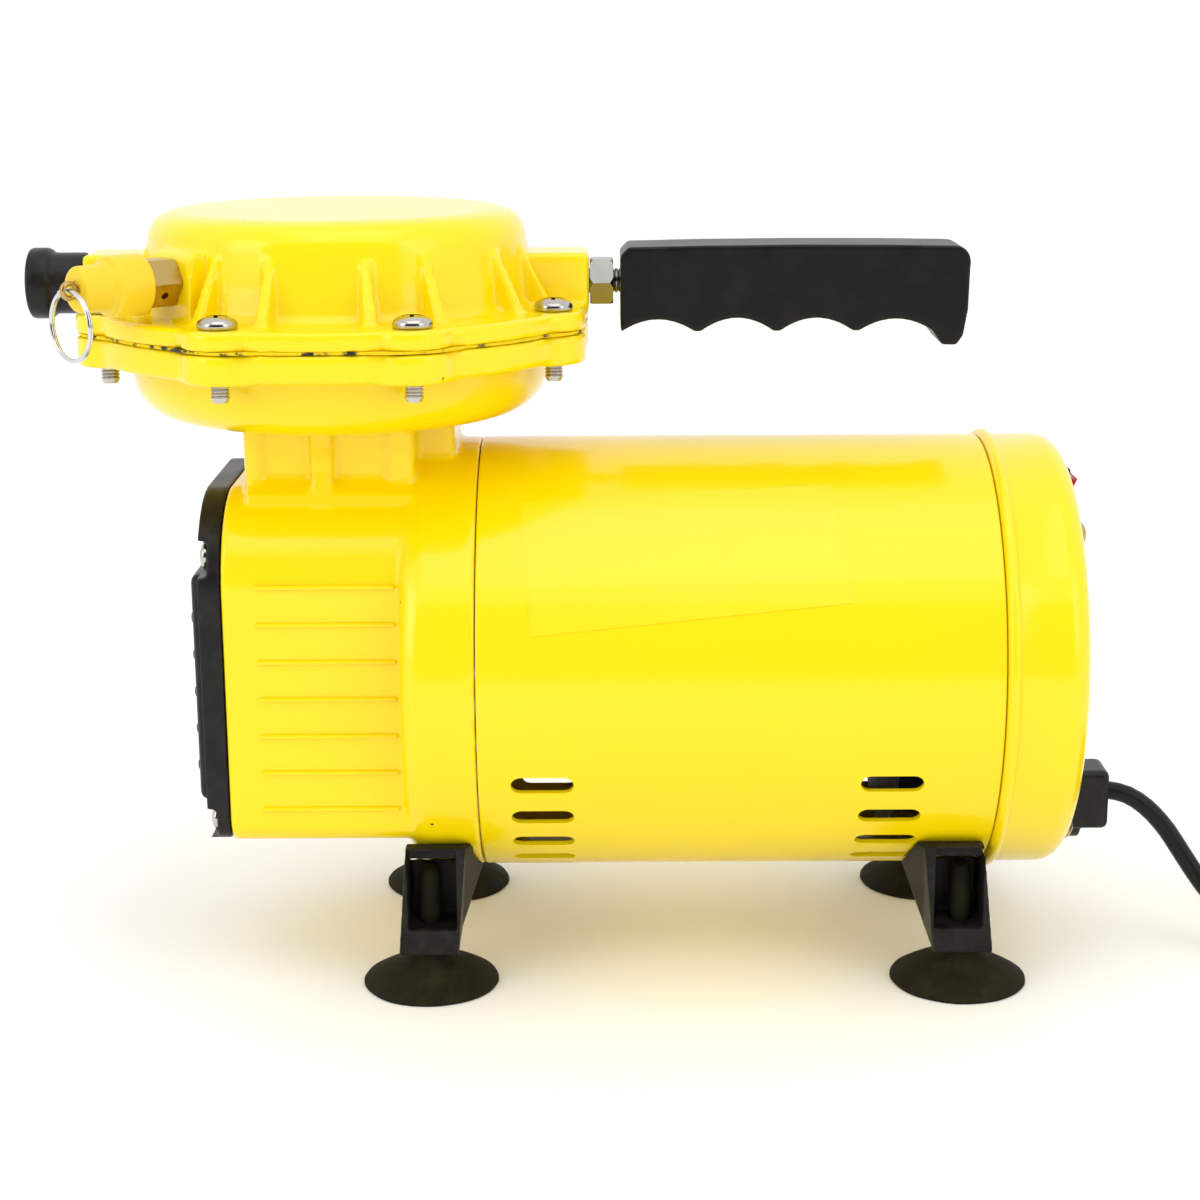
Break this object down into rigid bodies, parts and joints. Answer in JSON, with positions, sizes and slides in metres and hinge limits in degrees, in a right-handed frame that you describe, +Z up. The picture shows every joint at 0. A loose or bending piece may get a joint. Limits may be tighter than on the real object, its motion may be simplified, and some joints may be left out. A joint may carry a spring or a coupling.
{
  "type": "air compressor",
  "caption": "Portable direct-drive diaphragm air compressor with yellow motor and head, black grip handle, safety valve and suction-cup feet",
  "frame": {"origin": "centre of the object's box at floor level, without the lead, its coil and its plug", "axes": "+X along the motor away from the head, +Z up, -Y the side with the safety valve"},
  "size_m": [0.506, 0.161, 0.2473],
  "materials": {
    "yellow_enamel": "glossy enamel",
    "black_cover": "satin, lightly dusty",
    "grip_plastic": "satin moulded plastic",
    "leg_plastic": "satin moulded plastic",
    "cup_rubber": "dusty matte",
    "diaphragm_rubber": "matte",
    "chrome_screws": "bright nickel plate",
    "zinc_steel": "zinc plate",
    "brass": "machined, slightly dull",
    "valve_yellow": "satin moulded plastic",
    "ring_chrome": "bright wire",
    "inner_steel": "bare steel",
    "copper_wire": "varnished winding wire",
    "cast_aluminium": "cast",
    "fan_plastic": "satin",
    "switch_red": "glossy",
    "cord_sheath": "satin sheath"
  },
  "bodies": {
    "casing": {"crankcase": "yellow_enamel", "crankcase_cover": "black_cover", "head_cap": "yellow_enamel", "valve_plate": "cast_aluminium", "diaphragm": "diaphragm_rubber", "handle_stud": "zinc_steel", "handle_nut": "zinc_steel", "handle_grip": "grip_plastic", "intake_filter": "black_cover", "safety_valve_body": "brass", "outlet_nipple": "brass", "motor_barrel": "yellow_enamel", "end_cap": "yellow_enamel", "stator_core": "inner_steel", "winding_front": "copper_wire", "winding_rear": "copper_wire", "front_bearing": "inner_steel", "rear_bearing": "inner_steel", "rear_bracket": "cast_aluminium", "cord_gland": "black_cover", "switch_bezel": "black_cover", "cord_lead": "cord_sheath", "cord_coil": "cord_sheath", "plug": "cord_sheath", "head_screw_1": "chrome_screws", "head_screw_2": "chrome_screws", "head_screw_3": "chrome_screws", "head_screw_4": "chrome_screws", "head_screw_5": "chrome_screws", "head_screw_6": "chrome_screws", "head_screw_7": "chrome_screws", "head_screw_8": "chrome_screws", "cover_screw_1": "chrome_screws", "cover_screw_2": "chrome_screws", "cover_screw_3": "chrome_screws", "cover_screw_4": "chrome_screws", "end_bolt_1": "brass", "end_bolt_2": "brass", "end_bolt_3": "brass", "end_bolt_4": "brass", "leg_front_left": "leg_plastic", "leg_front_right": "leg_plastic", "leg_rear_left": "leg_plastic", "leg_rear_right": "leg_plastic", "suction_cup_front_left": "cup_rubber", "suction_cup_front_right": "cup_rubber", "suction_cup_rear_left": "cup_rubber", "suction_cup_rear_right": "cup_rubber"},
    "drive": {"motor_shaft": "inner_steel", "rotor_core": "inner_steel", "cooling_fan": "fan_plastic", "eccentric": "inner_steel"},
    "rod": {"connecting_rod": "cast_aluminium", "eccentric_bearing": "inner_steel", "diaphragm_clamp": "cast_aluminium"},
    "intake_flap": {"intake_reed": "inner_steel"},
    "exhaust_flap": {"exhaust_reed": "inner_steel"},
    "rocker": {"switch_rocker": "switch_red"},
    "valve_pull": {"safety_valve_cap": "valve_yellow"},
    "ring": {"pull_ring": "ring_chrome"}
  },
  "joints": [
    {"name": "crank_spin", "type": "hinge", "parent": "casing", "child": "drive", "pos_m": [-0.0765, 0, 0.1], "axis": [1, 0, 0], "continuous": true},
    {"name": "rod_pivot", "type": "hinge", "parent": "drive", "child": "rod", "pos_m": [-0.0765, 0, 0.1025], "axis": [1, 0, 0], "continuous": true},
    {"name": "intake_flex", "type": "hinge", "parent": "casing", "child": "intake_flap", "pos_m": [-0.1095, 0.013, 0.2143], "axis": [1, 0, 0], "range_deg": [0, 5], "stiffness_Nm_per_rad": 0.02},
    {"name": "exhaust_flex", "type": "hinge", "parent": "casing", "child": "exhaust_flap", "pos_m": [-0.0435, 0.013, 0.2193], "axis": [1, 0, 0], "range_deg": [-5, 0], "stiffness_Nm_per_rad": 0.02},
    {"name": "switch_rock", "type": "hinge", "parent": "casing", "child": "rocker", "pos_m": [0.16, 0, 0.15], "axis": [0, 1, 0], "range_deg": [-18, 0]},
    {"name": "relief_pull", "type": "slide", "parent": "casing", "child": "valve_pull", "axis": [-0.7071, -0.7071, 0], "range_m": [0, 0.003], "stiffness_N_per_m": 500},
    {"name": "ring_swing", "type": "hinge", "parent": "valve_pull", "child": "ring", "pos_m": [-0.1482, -0.0717, 0.229], "axis": [-0.7071, 0.7071, 0], "range_deg": [-8, 90]}
  ],
  "couplings": [
    {"joint": "rod_pivot", "follows": "crank_spin", "ratio": -1}
  ]
}
